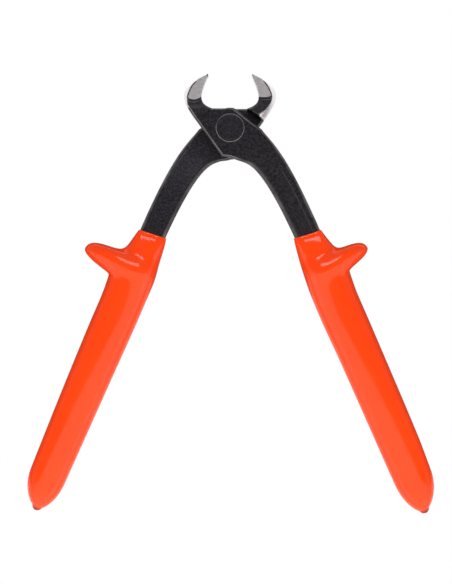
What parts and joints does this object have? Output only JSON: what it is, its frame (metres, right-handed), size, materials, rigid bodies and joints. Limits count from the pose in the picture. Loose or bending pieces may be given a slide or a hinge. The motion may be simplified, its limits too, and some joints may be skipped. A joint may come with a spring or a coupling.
{
  "type": "rebar tying pliers",
  "caption": "End-cutting nippers for twisting and cutting tie wire: forged black levers crossed on a rivet, hooked jaws and orange dipped grips with thumb guards.",
  "frame": {"origin": "middle of the rivet's tail end, on the joint's axis, at the back face of the joint", "axes": "+Y from the joint towards the jaws along the middle of the open tool, +X towards the front lever's handle, +Z along the rivet out of the front face"},
  "size_m": [0.1967, 0.2134, 0.0216],
  "materials": {
    "black_steel": "black oxide on forged steel, bright ground jaws",
    "rivet_steel": "black oxide, flush ground head",
    "first_coat": "pale dipped first coat",
    "guard_vinyl": "moulded vinyl",
    "orange_vinyl": "glossy dipped vinyl"
  },
  "bodies": {
    "back_half": {"back_lever": "black_steel", "back_inner_insulation": "first_coat", "back_guard_core": "guard_vinyl", "back_outer_sleeve": "orange_vinyl", "pivot_rivet": "rivet_steel"},
    "front_half": {"front_lever": "black_steel", "front_inner_insulation": "first_coat", "front_guard_core": "guard_vinyl", "front_outer_sleeve": "orange_vinyl"}
  },
  "joints": [
    {"name": "jaw_pivot", "type": "hinge", "parent": "back_half", "child": "front_half", "pos_m": [0, 0, 0], "axis": [0, 0, -1], "range_deg": [-12, 42]}
  ]
}
